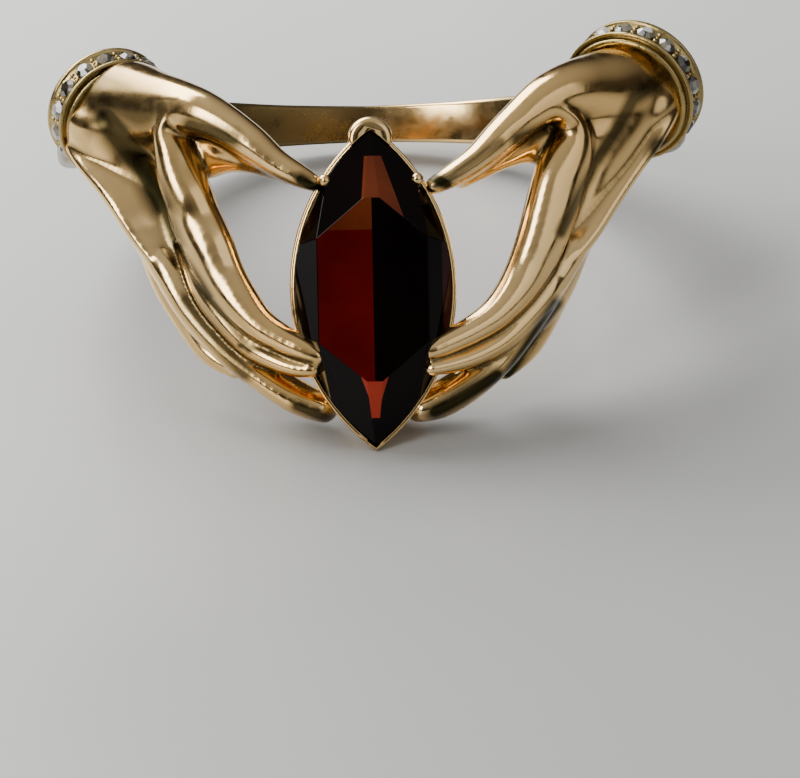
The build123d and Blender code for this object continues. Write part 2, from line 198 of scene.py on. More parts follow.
middleRows = {
    "left": [
        (0.60, 0.371, 0.81, 0.57, 0.79),
        (0.48, 0.521, 0.96, 0.82, 1.00),
        (0.37, 0.619, 1.00, 0.70, 0.93),
        (0.24, 0.699, 1.02, 0.61, 0.86),
        (0.10, 0.746, 1.06, 0.51, 0.79),
        (-0.01, 0.768, 1.10, 0.44, 0.71),
        (-0.09, 0.773, 1.15, 0.36, 0.57),
    ],
    "right": [
        (0.62, 0.382, 0.81, 0.57, 0.79),
        (0.51, 0.526, 0.96, 0.82, 1.00),
        (0.39, 0.619, 1.00, 0.70, 0.93),
        (0.25, 0.698, 1.02, 0.61, 0.86),
        (0.10, 0.744, 1.06, 0.51, 0.79),
        (-0.03, 0.766, 1.10, 0.44, 0.71),
        (-0.12, 0.776, 1.15, 0.36, 0.57),
    ],
}
flankRows = {
    "left": [
        (1.22, -0.053, 0.90, 0.64, 1.71),
        (1.14, 0.034, 0.96, 0.93, 1.93),
        (1.05, 0.111, 0.98, 1.14, 2.00),
        (0.96, 0.183, 0.96, 1.25, 1.86),
        (0.88, 0.261, 0.94, 1.25, 1.71),
        (0.80, 0.353, 0.90, 1.11, 1.50),
        (0.70, 0.450, 0.87, 0.90, 1.21),
    ],
    "right": [
        (1.15, -0.148, 0.90, 1.29, 2.07),
        (1.10, -0.048, 0.98, 1.36, 2.07),
        (1.02, 0.050, 0.98, 1.29, 1.93),
        (0.91, 0.157, 0.94, 1.14, 1.71),
        (0.80, 0.262, 0.91, 1.07, 1.57),
        (0.70, 0.364, 0.89, 1.00, 1.43),
        (0.57, 0.468, 0.87, 0.90, 1.21),
    ],
}
ringRows = {
    "left": [
        (0.84, 0.347, 0.87, 0.71, 1.07),
        (0.70, 0.450, 0.88, 0.91, 1.25),
        (0.55, 0.599, 0.85, 0.82, 1.25),
        (0.35, 0.724, 0.81, 0.75, 1.36),
        (0.17, 0.805, 0.77, 0.75, 1.43),
        (-0.00, 0.870, 0.73, 0.79, 1.50),
        (-0.16, 0.908, 0.77, 0.68, 1.29),
    ],
    "right": [
        (0.69, 0.374, 0.87, 0.71, 1.07),
        (0.57, 0.467, 0.88, 0.91, 1.25),
        (0.42, 0.610, 0.83, 0.86, 1.25),
        (0.26, 0.735, 0.79, 0.86, 1.36),
        (0.10, 0.825, 0.75, 0.86, 1.43),
        (-0.07, 0.886, 0.73, 0.86, 1.50),
        (-0.20, 0.914, 0.77, 0.64, 1.29),
    ],
}
littleRows = {
    "left": [
        (0.84, 0.389, 0.65, 0.50, 0.71),
        (0.73, 0.510, 0.65, 0.68, 0.93),
        (0.61, 0.630, 0.60, 0.71, 0.86),
        (0.49, 0.732, 0.54, 0.64, 0.71),
        (0.35, 0.786, 0.54, 0.46, 0.57),
    ],
    "right": [
        (0.70, 0.390, 0.65, 0.50, 0.71),
        (0.61, 0.502, 0.65, 0.68, 0.93),
        (0.51, 0.630, 0.60, 0.68, 0.86),
        (0.41, 0.735, 0.54, 0.61, 0.71),
        (0.28, 0.806, 0.54, 0.46, 0.57),
    ],
}

# Limbs: how many sections run from one row to the next, the turns that round a tip, the points round a section,
# and the two sections that are squares with rounded corners
limbLook = {"blend": 5, "tipTurns": (18, 36, 54, 70, 82), "points": 32}
squares = {
    "band": {"reach": sqrt(2), "turned": 45, "corner": 0.2, "cuts": 5},
    "edged": {"reach": 1.15, "turned": 0, "corner": 0.3, "cuts": 4},
}


def handPoint(side, spread, drop, lift):
    reach = stone["wide"] / 2 + spread * (cuffReach[side] - stone["wide"] / 2)
    radius = ring["bore"] + lift * stone["lift"]
    return Vector((sides[side] * reach, -sqrt(radius ** 2 - reach ** 2), -drop * stone["long"]))


def blendRows(rows):
    # A smooth run of rows through the given ones
    out = []
    for i in range(len(rows) - 1):
        four = [rows[max(i - 1, 0)], rows[i], rows[i + 1], rows[min(i + 2, len(rows) - 1)]]
        for k in range(limbLook["blend"]):
            t = k / limbLook["blend"]
            w = ((-t + 2 * t * t - t ** 3) / 2, (2 - 5 * t * t + 3 * t ** 3) / 2,
                 (t + 4 * t * t - 3 * t ** 3) / 2, (t ** 3 - t * t) / 2)
            out.append([sum(w[j] * four[j][c] for j in range(4)) for c in range(len(rows[0]))])
    out.append(list(rows[-1]))
    return out


def sectionFrames(points, halfWide, halfThick):
    # Across, outward from the finger and along the run at each point, scaled to the section's half sizes
    frames = []
    for i, point in enumerate(points):
        along = (points[min(i + 1, len(points) - 1)] - points[max(i - 1, 0)]).normalized()
        across = along.cross(Vector((point.x, point.y, 0))).normalized()
        outward = along.cross(across)
        turn = Matrix((across, outward, along)).transposed().to_4x4()
        size = Matrix.Diagonal((halfWide[i], halfThick[i], 1, 1))
        frames.append(Matrix.Translation(point) @ turn @ size)
    return frames


def tube(bm, frames, section):
    # A closed tube through the frames, each of which carries the unit circle or square to its section
    if section in squares:
        look = squares[section]
        made = bmesh.ops.create_circle(bm, cap_ends=True, segments=4, radius=look["reach"],
                                       matrix=Matrix.Rotation(radians(look["turned"]), 4, "Z"))
        verts = bmesh.ops.bevel(bm, geom=made["verts"], offset=look["corner"], segments=look["cuts"],
                                profile=0.5, affect="VERTICES", material=-1)["verts"]
        bmesh.ops.transform(bm, matrix=frames[0], verts=verts)
    else:
        verts = bmesh.ops.create_circle(bm, cap_ends=True, segments=limbLook["points"], radius=1.0,
                                        matrix=frames[0])["verts"]
    face = max(verts[0].link_faces, key=lambda f: len(f.verts))
    for before, after in zip(frames, frames[1:]):
        grown = bmesh.ops.extrude_face_region(bm, geom=[face] + list(face.edges))["geom"]
        verts = [v for v in grown if isinstance(v, bmesh.types.BMVert)]
        face = [f for f in grown if isinstance(f, bmesh.types.BMFace)][0]
        bmesh.ops.transform(bm, matrix=after @ before.inverted(), verts=verts)


def roundTip(points, halfWide, halfThick, share):
    # Closes a limb with a rounded end
    along = (points[-1] - points[-2]).normalized()
    reach = share * (halfWide[-1] + halfThick[-1]) / 2
    start, wide, thick = points[-1], halfWide[-1], halfThick[-1]
    for turn in limbLook["tipTurns"]:
        points.append(start + along * reach * sin(radians(turn)))
        halfWide.append(wide * cos(radians(turn)))
        halfThick.append(thick * cos(radians(turn)))


def limb(bm, side, rows, breadth, tip, section):
    smooth = blendRows(rows[side])
    points = [handPoint(side, *row[:3]) for row in smooth]
    halfWide = [breadths[breadth] * row[3] / 2 for row in smooth]
    halfThick = [breadths[breadth] * row[4] / 2 for row in smooth]
    if tip:
        roundTip(points, halfWide, halfThick, tip)
    tube(bm, sectionFrames(points, halfWide, halfThick), section)


def newPiece(bm, name):
    mesh = bpy.data.meshes.new(name)
    bm.to_mesh(mesh)
    bm.free()
    piece = bpy.data.objects.new(name, mesh)
    bpy.context.scene.collection.objects.link(piece)
    return piece


def keepModifier(piece, kind, **settings):
    # Runs one modifier on the mesh and keeps the result
    modifier = piece.modifiers.new(kind, kind)
    for key, value in settings.items():
        setattr(modifier, key, value)
    result = bpy.data.meshes.new_from_object(piece.evaluated_get(bpy.context.evaluated_depsgraph_get()))
    piece.modifiers.clear()
    old = piece.data
    piece.data = result
    result.name = piece.name
    bpy.data.meshes.remove(old)


def finishPiece(piece, materials, node):
    # Takes a piece from worn millimetres to its place and hands it to the frame
    piece.data.transform(wornFrame)
    for material in materials:
        piece.data.materials.append(material)
    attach(piece, "root")
    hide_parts(node)


def finishGold(piece, material):
    for face in piece.data.polygons:
        face.use_smooth = True
    finishPiece(piece, [material], "gold_ring")


def setSockets(tree, node, sockets):
    # Gives each socket, by name or number, a link or a value
    for key, value in sockets.items():
        if isinstance(value, bpy.types.NodeSocket):
            tree.links.new(value, node.inputs[key])
        else:
            node.inputs[key].default_value = value


def addNode(tree, kind, sockets, **settings):
    node = tree.nodes.new("ShaderNode" + kind)
    for key, value in settings.items():
        setattr(node, key, value)
    setSockets(tree, node, sockets)
    return node


def toneRamp(tree, source, stops, interpolation="LINEAR"):
    # Colours along the source's values; each stop is a position and a colour
    ramp = addNode(tree, "ValToRGB", {"Fac": source})
    ramp.color_ramp.interpolation = interpolation
    for element, (position, color) in zip(ramp.color_ramp.elements, (stops[0], stops[-1])):
        element.position = position
        element.color = (*color, 1)
    for position, color in stops[1:-1]:
        ramp.color_ramp.elements.new(position).color = (*color, 1)
    return ramp.outputs["Color"]


def startMaterial(name):
    # A new material, its node tree, its shader and the piece's own coordinates
    material = bpy.data.materials.new(name)
    material.use_nodes = True
    tree = material.node_tree
    coords = addNode(tree, "TexCoord", {}).outputs["Object"]
    return material, tree, tree.nodes["Principled BSDF"], coords


# Gold: drift is the slow change from yellow to rose, fine is handling scratches as uneven gloss and bumps
goldLook = {
    "drift": 160.0, "driftDetail": 4.0, "driftFrom": 0.35, "driftTo": 0.65,
    "fine": 2600.0, "fineDetail": 6.0, "fineFrom": 0.3, "fineTo": 0.7, "glossy": 0.7, "matt": 1.4,
    "bump": 0.00003,
}
golds = {
    "polishedGold": {"rough": 0.16, "grain": 0.05, "low": (0.78, 0.50, 0.19), "high": (0.87, 0.61, 0.28)},
    # Cast gold: a rough cast finish with a random tone, partly painted darker than the polished gold to stand
    # in for the darker reflections of the cuffs
    "castGold": {"rough": 0.28, "grain": 0.9, "low": (0.16, 0.12, 0.035), "high": (0.58, 0.43, 0.19)},
}
# Painted shade, which darkens the hollows and the stroked places to stand in for shade and dark reflections:
# its tone and dullness, how strongly and how far it takes to hollows, how many rounds soften that and how firm
# its strokes are. Each stroke has the spread and drop of both ends, its reach in millimetres and its darkness
paintedShadeLook = {
    "tone": (0.032, 0.026, 0.010), "dull": 0.14, "hollow": 15.0, "most": 0.9, "rounds": 2, "firm": 1.5,
}
paintedShadeStrokes = {
    "left": [
        (1.05, -0.030, 0.87, 0.107, 0.95, 0.95),
        (0.87, 0.107, 0.74, 0.248, 0.75, 1.00),
        (0.74, 0.248, 0.66, 0.376, 0.42, 1.00),
        (0.66, 0.376, 0.48, 0.541, 0.26, 0.95),
        (0.48, 0.541, 0.26, 0.706, 0.20, 0.90),
        (1.10, -0.134, 0.85, -0.066, 1.30, 0.85),
        (0.56, -0.005, 0.32, 0.035, 0.45, 0.90),
        (0.31, 0.694, -0.08, 0.748, 0.16, 0.90),
        (0.00, 0.890, -0.22, 0.948, 0.32, 0.95),
        (0.61, 0.555, 0.29, 0.783, 0.45, 0.85),
        (-0.05, 0.171, -0.13, 0.200, 0.36, 1.00),
        (0.86, -0.073, 0.79, -0.097, 0.10, 0.90),
        (0.79, -0.097, 0.63, -0.092, 0.10, 0.90),
        (0.28, 0.127, -0.05, 0.196, 0.22, 0.80),
    ],
    "right": [
        (1.19, -0.138, 1.01, -0.067, 0.42, 0.85),
        (1.01, -0.067, 0.93, 0.016, 0.36, 0.85),
        (0.93, 0.016, 0.80, 0.130, 0.34, 0.90),
        (0.80, 0.130, 0.59, 0.356, 0.30, 0.85),
        (0.37, 0.060, 0.55, 0.024, 0.42, 0.90),
        (0.56, 0.592, 0.30, 0.813, 0.42, 1.00),
        (0.23, 0.811, -0.10, 0.918, 0.45, 1.00),
        (-0.09, 0.173, -0.02, 0.193, 0.36, 1.00),
        (1.15, 0.097, 1.16, 0.114, 0.70, 0.95),
        (-0.01, 0.180, 0.27, 0.065, 0.24, 0.75),
    ],
}


def shadeStrokeShare(x, z, stroke):
    # How dark a painted-shade stroke is at one point, in millimetres
    startX, startZ, endX, endZ, reach, dark = stroke
    runX, runZ = endX - startX, endZ - startZ
    t = ((x - startX) * runX + (z - startZ) * runZ) / (runX ** 2 + runZ ** 2)
    t = min(max(t, 0), 1)
    away = sqrt((x - startX - t * runX) ** 2 + (z - startZ - t * runZ) ** 2)
    return dark * min(max(paintedShadeLook["firm"] * (1 - away / reach), 0), 1)


def hollowShadeShare(vert):
    # How hollow the metal is at one point, from how far its neighbours stand out, as the share of painted shade
    # there
    bends = [(e.other_vert(vert).co - vert.co).normalized().dot(vert.normal) for e in vert.link_edges]
    return min(max(sum(bends) / len(bends) * paintedShadeLook["hollow"], 0), paintedShadeLook["most"])


def softShare(vert, shares):
    near = [shares[e.other_vert(vert).index] for e in vert.link_edges]
    return (shares[vert.index] + sum(near)) / (len(near) + 1)


def addPaintedShade(piece, side):
    # Stores each point's painted shade, from the hollows and from the strokes of its side
    wide = stone["wide"] / 2
    out = cuffReach[side] - wide
    strokes = [(wide + a * out, -b * stone["long"], wide + c * out, -d * stone["long"], reach, dark)
               for a, b, c, d, reach, dark in paintedShadeStrokes[side]]
    bm = bmesh.new()
    bm.from_mesh(piece.data)
    bm.normal_update()
    shares = [hollowShadeShare(vert) for vert in bm.verts]
    for _ in range(paintedShadeLook["rounds"]):
        shares = [softShare(vert, shares) for vert in bm.verts]
    layer = bm.verts.layers.float.new("paintedShade")
    for vert, share in zip(bm.verts, shares):
        x, z = abs(vert.co.x), vert.co.z
        vert[layer] = max([share] + [shadeStrokeShare(x, z, stroke) for stroke in strokes])
    bm.to_mesh(piece.data)
    bm.free()


def goldMaterial(name):
    look = golds[name]
    material, tree, shader, coords = startMaterial(name)
    drift = addNode(tree, "TexNoise", {
        "Vector": coords, "Scale": goldLook["drift"], "Detail": goldLook["driftDetail"]}).outputs["Fac"]
    fine = addNode(tree, "TexNoise", {
        "Vector": coords, "Scale": goldLook["fine"], "Detail": goldLook["fineDetail"]}).outputs["Fac"]
    tone = toneRamp(tree, drift, [(goldLook["driftFrom"], look["low"]), (goldLook["driftTo"], look["high"])])
    # Painted shade: the stored attribute mixes the gold towards a dark tone and makes it duller
    paintedShade = addNode(tree, "Attribute", {}, attribute_name="paintedShade").outputs["Fac"]
    darken = addNode(tree, "Mix", {0: paintedShade, 6: tone, 7: (*paintedShadeLook["tone"], 1)}, data_type="RGBA")
    gloss = addNode(tree, "MapRange", {
        "Value": fine, "From Min": goldLook["fineFrom"], "From Max": goldLook["fineTo"],
        "To Min": look["rough"] * goldLook["glossy"], "To Max": look["rough"] * goldLook["matt"]})
    dull = addNode(tree, "Math", {0: paintedShade, 1: paintedShadeLook["dull"], 2: gloss.outputs["Result"]},
                   operation="MULTIPLY_ADD")
    bump = addNode(tree, "Bump", {"Strength": look["grain"], "Distance": goldLook["bump"], "Height": fine})
    setSockets(tree, shader, {"Metallic": 1.0, "Base Color": darken.outputs[2],
                              "Roughness": dull.outputs["Value"], "Normal": bump.outputs["Normal"]})
    return material


polishedGold = goldMaterial("polishedGold")
castGold = goldMaterial("castGold")
print("gold done")

# Hands: the palm, the back and the thumb are melted together first, then the web, the index finger with its lip
# and the flank, and last the other fingers. Each limb has its rows, its breadth, how long its tip is and its
# section
breadths = {"palm": 4.0, "thumb": 2.4, "finger": 1.4}
handLook = {"tipFrom": 3.2, "tipTo": 5.4, "soften": 0.5}
handSteps = [
    {"voxel": 0.08, "rounds": 50, "least": 0.1, "limbs": [
        (palmRows, "palm", 0, "round"), (backRows, "palm", 0.8, "round"),
        (thumbRows, "thumb", 0.8, "round")]},
    {"voxel": 0.06, "rounds": 20, "least": 0.4, "limbs": [
        (webRows, "finger", 0.5, "round"), (indexRows, "finger", 0.9, "round"),
        (flankRows, "finger", 0, "edged")]},
    {"voxel": 0.056, "rounds": 18, "least": 0.9, "limbs": [
        (middleRows, "finger", 0.9, "round"), (ringRows, "finger", 0.5, "round"),
        (littleRows, "finger", 0.9, "round")]},
]


def meltTogether(piece, step):
    # Smooths the wrist side fully and the thin tips by the stone less
    keepModifier(piece, "REMESH", mode="VOXEL", voxel_size=step["voxel"])
    wrist = piece.vertex_groups.new(name="wrist")
    for vert in piece.data.vertices:
        share = (abs(vert.co.x) - handLook["tipFrom"]) / (handLook["tipTo"] - handLook["tipFrom"])
        wrist.add([vert.index], min(max(share, step["least"]), 1), "REPLACE")
    keepModifier(piece, "SMOOTH", factor=handLook["soften"], iterations=step["rounds"], vertex_group="wrist")


def hand(side):
    body = None
    for step in handSteps:
        bm = bmesh.new()
        if body:
            bm.from_mesh(body.data)
            bpy.data.objects.remove(body)
        for look in step["limbs"]:
            limb(bm, side, *look)
        body = newPiece(bm, "hand" + side.capitalize())
        meltTogether(body, step)
    # Painted shade in the hollows and along the strokes
    addPaintedShade(body, side)
    finishGold(body, polishedGold)
    print(body.name, "has", len(body.data.polygons), "faces")


for side in sides:
    hand(side)

# Shank: rows of the share of the way from the back to the cuff, width, thickness, and how far the section
# follows the cuff's lift and rise. It is painted darker and duller with painted shade, except at one place that
# is left bright
shankRows = [
    (0.00, 1.00, 1.00, 0.0, 0.0),
    (0.17, 1.15, 1.00, 0.0, 0.0),
    (0.34, 1.45, 1.00, 0.0, 0.0),
    (0.51, 1.80, 1.05, 0.0, 0.0),
    (0.68, 2.00, 1.20, 0.05, 0.1),
    (0.83, 2.10, 1.55, 0.3, 0.4),
    (0.95, 2.05, 1.95, 0.75, 0.9),
    (1.00, 1.90, 1.95, 0.95, 1.1),
]
shankShadeGap = {"x": 2.6, "reach": 1.2, "dull": 0.85}


def shankRun(side):
    # Places and half sizes of the sections from the middle of the back to the inside of a cuff
    farTurn = 180 - cuffs["angle"][side] - degrees(cuffs["wide"] / (ring["bore"] + cuffs["lift"])) / 2
    run = []
    for turn, wide, thick, lift, rise in blendRows(shankRows):
        radius = ring["bore"] + ring["thick"] * thick / 2 + lift * cuffs["lift"] / 2
        angle = radians(turn * farTurn)
        place = Vector((sides[side] * radius * sin(angle), radius * cos(angle), rise * cuffs["rise"][side]))
        run.append((place, ring["wide"] * wide / 2, ring["thick"] * thick / 2))
    return run


def shank():
    run = shankRun("left")[::-1] + shankRun("right")[1:]
    bm = bmesh.new()
    tube(bm, sectionFrames(*[list(column) for column in zip(*run)]), "band")
    bmesh.ops.recalc_face_normals(bm, faces=bm.faces)
    # Painted shade over the shank, left off round one place
    layer = bm.verts.layers.float.new("paintedShade")
    for vert in bm.verts:
        away = abs(vert.co.x - shankShadeGap["x"]) / shankShadeGap["reach"]
        vert[layer] = min(max(away - 1, 0), 1) * shankShadeGap["dull"]
    finishGold(newPiece(bm, "shank"), polishedGold)


shank()
print("shank done")

# Cuffs: the stones stand in a groove, and three grains between each two of them hold them, each with its height
# along the cuff and its radius
seats = {
    "radius": 0.32, "gap": 0.03, "bridge": 0.1, "count": 11, "stand": 0.02, "grainCuts": 2,
    "grains": [(-0.34, 0.085), (-0.76, 0.085), (-0.55, 0.06)],
}


def cuffAxis(side):
    turn, dip = radians(cuffs["turn"]), radians(cuffs["dip"])
    return Vector((-sides[side] * sin(turn) * cos(dip), -cos(turn) * cos(dip), -sin(dip)))


def cuffCentre(side):
    radius, angle = ring["bore"] + cuffs["lift"], radians(cuffs["angle"][side])
    return Vector((sides[side] * cuffReach[side], -radius * cos(angle), cuffs["rise"][side]))


def cuff(side):
    axis, centre = cuffAxis(side), cuffCentre(side)
    outward = Vector((centre.x, centre.y, 0))
    outward = (outward - axis * outward.dot(axis)).normalized()
    radius, wide, lip = cuffs["radius"][side], cuffs["wide"], cuffs["lip"]
    edge, slope, base = cuffs["edge"], cuffs["slope"], radius - cuffs["groove"]
    profile = [
        (0, -wide), (radius - edge, -wide), (radius, edge - wide), (radius, lip - wide - edge),
        (radius - edge, lip - wide), (base, lip - wide + slope), (base, -lip - slope), (radius - edge, -lip),
        (radius, edge - lip),
    ]
    profile += [(radius - inset, height) for inset, height in cuffs["frontRows"]]
    profile.append((0, cuffs["frontRows"][-1][1]))
    bm = bmesh.new()
    verts = [bm.verts.new(centre + outward * away + axis * height) for away, height in profile]
    edges = [bm.edges.new(pair) for pair in zip(verts, verts[1:])]
    bmesh.ops.spin(bm, geom=verts + edges, cent=centre, axis=axis, angle=2 * pi, steps=cuffs["steps"],
                   use_merge=True)
    bmesh.ops.remove_doubles(bm, verts=bm.verts, dist=cuffs["merge"])
    bmesh.ops.recalc_face_normals(bm, faces=bm.faces)
    step = (2 * (seats["radius"] + seats["gap"]) + seats["bridge"]) / base
    roundAxis = axis.cross(outward)
    for number in range(seats["count"] + 1):
        angle = (number - seats["count"] / 2) * step
        away = (outward * cos(angle) + roundAxis * sin(angle)) * (base + seats["stand"])
        for height, size in seats["grains"]:
            spot = centre + axis * height + away
            bmesh.ops.create_icosphere(bm, subdivisions=seats["grainCuts"], radius=size,
                                       matrix=Matrix.Translation(spot))
    finishGold(newPiece(bm, "cuff" + side.capitalize()), castGold)


for side in sides:
    cuff(side)
print("cuffs done")

# Setting: an open collet with a sharp tip at each end, the rounded cap over the stone's upper tip and two bead
# claws
setting = {
    "levels": [  # height over the stone's girdle, length, width, and how far the outline stands out
        (0.12, 1.0, 1.0, 0.08), (0.06, 1.0, 1.0, 0.15), (-0.7, 0.97, 0.93, 0.17), (-2.1, 0.80, 0.65, 0.33),
        (-2.2, 0.78, 0.62, 0.30), (-2.2, 0.70, 0.46, 0.04), (-2.1, 0.70, 0.46, 0.0), (-0.9, 0.86, 0.72, 0.0),
        (-0.06, 0.995, 0.99, 0.0), (0.06, 1.0, 1.0, 0.03),
    ],
    "steps": 32, "merge": 0.001,
    "capRadius": 0.72, "capDeep": 1.5, "capEdge": 0.2, "capTop": 0.13, "capPast": 0.08, "capPoints": 64,
    "capCuts": 6, "capRim": 0.01,
    "gap": 0.04, "pocketFrom": -0.1, "pocketDeep": 1.0,
    "clawRadius": 0.2, "clawRise": 0.345, "clawSink": 0.005, "clawPoints": 24, "clawRings": 16,
}
sideArc = (stone["long"] ** 2 + stone["wide"] ** 2) / (4 * stone["wide"])  # radius of the marquise's sides


def marquiseLoop(bm, long, wide, grow, height):
    # One closed loop round a marquise outline: each side is one vertex spun about its arc's centre
    before = set(bm.edges)
    arc = (long ** 2 + wide ** 2) / (4 * wide)
    out = arc + grow
    turn = acos((arc - wide / 2) / out)
    for sign in (1, -1):
        centre = stoneMiddle + Vector((-sign * (arc - wide / 2), -height, 0))
        first = bm.verts.new(centre + Vector((sign * out * cos(turn), 0, out * sin(turn))))
        bmesh.ops.spin(bm, geom=[first], cent=centre, axis=(0, sign, 0), angle=2 * turn,
                       steps=setting["steps"])
    # The points go in one order, so each run gives the same mesh
    fresh = dict.fromkeys(v for e in bm.edges if e not in before for v in e.verts)
    bmesh.ops.remove_doubles(bm, verts=list(fresh), dist=setting["merge"])
    return [e for e in bm.edges if e not in before]


def collet(bm):
    loops = [marquiseLoop(bm, stone["long"] * long, stone["wide"] * wide, grow, height)
             for height, long, wide, grow in setting["levels"]]
    for loop, following in zip(loops, loops[1:] + loops[:1]):
        bmesh.ops.bridge_loops(bm, edges=loop + following)


def pocket():
    # A block with the stone's outline, to cut the cap with
    bm = bmesh.new()
    low = marquiseLoop(bm, stone["long"], stone["wide"], setting["gap"], setting["pocketFrom"])
    faces = bmesh.ops.edgeloop_fill(bm, edges=low)["faces"]
    up = bmesh.ops.extrude_face_region(bm, geom=faces)["geom"]
    bmesh.ops.translate(bm, vec=(0, -setting["pocketDeep"], 0),
                        verts=[v for v in up if isinstance(v, bmesh.types.BMVert)])
    bmesh.ops.recalc_face_normals(bm, faces=bm.faces)
    return newPiece(bm, "pocket")


def tipCap():
    # The rounded cap, with the stone's own outline cut out of it
    radius, deep = setting["capRadius"], setting["capDeep"]
    top = stoneMiddle + Vector((0, -setting["capTop"], stone["long"] / 2 + setting["capPast"] - radius / 2))
    place = Matrix.Translation(top + Vector((0, deep / 2, 0))) @ Matrix.Rotation(radians(90), 4, "X")
    bm = bmesh.new()
    bmesh.ops.create_cone(bm, cap_ends=True, segments=setting["capPoints"], radius1=radius, radius2=radius,
                          depth=deep, matrix=place)
    rim = [e for e in bm.edges if all(v.co.y < top.y + setting["capRim"] for v in e.verts)]
    bmesh.ops.bevel(bm, geom=rim, offset=setting["capEdge"], segments=setting["capCuts"], profile=0.5,
                    affect="EDGES", material=-1)
    cap = newPiece(bm, "cap")
    cutter = pocket()
    keepModifier(cap, "BOOLEAN", operation="DIFFERENCE", object=cutter, solver="EXACT")
    bpy.data.objects.remove(cutter)
    return cap


def claw(bm, sign):
    rise = setting["clawRise"] * stone["long"]
    spread = sqrt(sideArc ** 2 - rise ** 2) - (sideArc - stone["wide"] / 2)
    spot = stoneMiddle + Vector((sign * spread, setting["clawSink"] - setting["clawRadius"], rise))
    bmesh.ops.create_uvsphere(bm, u_segments=setting["clawPoints"], v_segments=setting["clawRings"],
                              radius=setting["clawRadius"], matrix=Matrix.Translation(spot))


def settingPiece():
    cap = tipCap()
    bm = bmesh.new()
    bm.from_mesh(cap.data)
    bpy.data.objects.remove(cap)
    collet(bm)
    for sign in sides.values():
        claw(bm, sign)
    bmesh.ops.recalc_face_normals(bm, faces=bm.faces)
    finishGold(newPiece(bm, "setting"), polishedGold)


settingPiece()
print("setting done")

# Garnet: the CAD stone's facets, split where the light inside the stone changes, with fine worn edges, and each
# part painted with a tone that stands in for the light and shade inside the stone
garnetLook = {
    "rough": 0.04, "bend": 1.76, "drift": 420.0, "driftDetail": 3.0, "driftFrom": 0.3, "driftTo": 0.7,
    "merge": 0.002, "flat": 1, "sharp": 8, "worn": 0.018, "wornCuts": 2,
}
# Painted inner light: black is painted shade, red the lit deep red, and ember, flame and wine are painted glow
# and reflections inside the stone
garnetPaintedTones = {  # darkest and lightest tone, and gloss
    "garnetBlack": ((0.001, 0.0004, 0.0004), (0.003, 0.0008, 0.0008), 0.05),
    "garnetRed": ((0.045, 0.0006, 0.0004), (0.085, 0.002, 0.001), 0.1),
    "garnetEmber": ((0.06, 0.009, 0.002), (0.11, 0.022, 0.006), 0.1),
    "garnetFlame": ((0.20, 0.010, 0.004), (0.32, 0.030, 0.010), 0.1),
    "garnetWine": ((0.018, 0.001, 0.001), (0.04, 0.002, 0.002), 0.1),
}
garnetCuts = [  # a point in the face and a direction across the cut, from the stone's middle
    ((0, 0, 0), (1, 0, 0)), ((-1.0, 0, 2.6), (0.55, 0, 1)), ((0.75, 0, 3), (1, 0, 0.35)),
    ((-0.3, 0, 3), (1, 0, -0.08)), ((0.35, 0, -3), (1, 0, -0.3)), ((-0.35, 0, -3), (1, 0, 0.35)),
    ((0, 0, -4.1), (0, 0, 1)), ((0, 0, 4.2), (0, 0, 1)), ((0, 0, 1.9), (0, 0, 1)), ((2.2, 0, 0), (1, 0, 0)),
]
garnetPlaces = [  # tone, then the least and the most of a face's normal Y, across and up; the first that fits
    ("garnetWine", (-0.9, 0.2), (2.2, 9), (-1.2, 1.2)),
    ("garnetBlack", (-0.9, 0.2), (1.2, 9), (-9, 9)),
    ("garnetBlack", (-0.9, 0.2), (-9, -1.2), (-9, 9)),
    ("garnetEmber", (-9, -0.98), (-1.0, 0), (1.9, 9)),
    ("garnetRed", (-9, -0.98), (-9, 0), (-9, 9)),
    ("garnetBlack", (-9, -0.98), (-9, 9), (-9, 9)),
    ("garnetEmber", (-9, 0), (-0.3, 0.9), (2.0, 4.2)),
    ("garnetFlame", (-9, 0), (-0.45, 0.45), (-4.1, -2.0)),
    ("garnetBlack", (-9, 9), (-9, 9), (-9, 9)),
]


def garnetMaterial(name):
    low, high, gloss = garnetPaintedTones[name]
    material, tree, shader, coords = startMaterial(name)
    drift = addNode(tree, "TexNoise", {
        "Vector": coords, "Scale": garnetLook["drift"], "Detail": garnetLook["driftDetail"]}).outputs["Fac"]
    tone = toneRamp(tree, drift, [(garnetLook["driftFrom"], low), (garnetLook["driftTo"], high)])
    setSockets(tree, shader, {"Roughness": garnetLook["rough"], "IOR": garnetLook["bend"],
                              "Specular IOR Level": gloss, "Base Color": tone})
    return material


def garnetPaintedTone(face):
    middle = face.calc_center_median() - stoneMiddle
    values = (face.normal.y, middle.x, middle.z)
    for tone, *spans in garnetPlaces:
        if all(least < value < most for value, (least, most) in zip(values, spans)):
            return tone


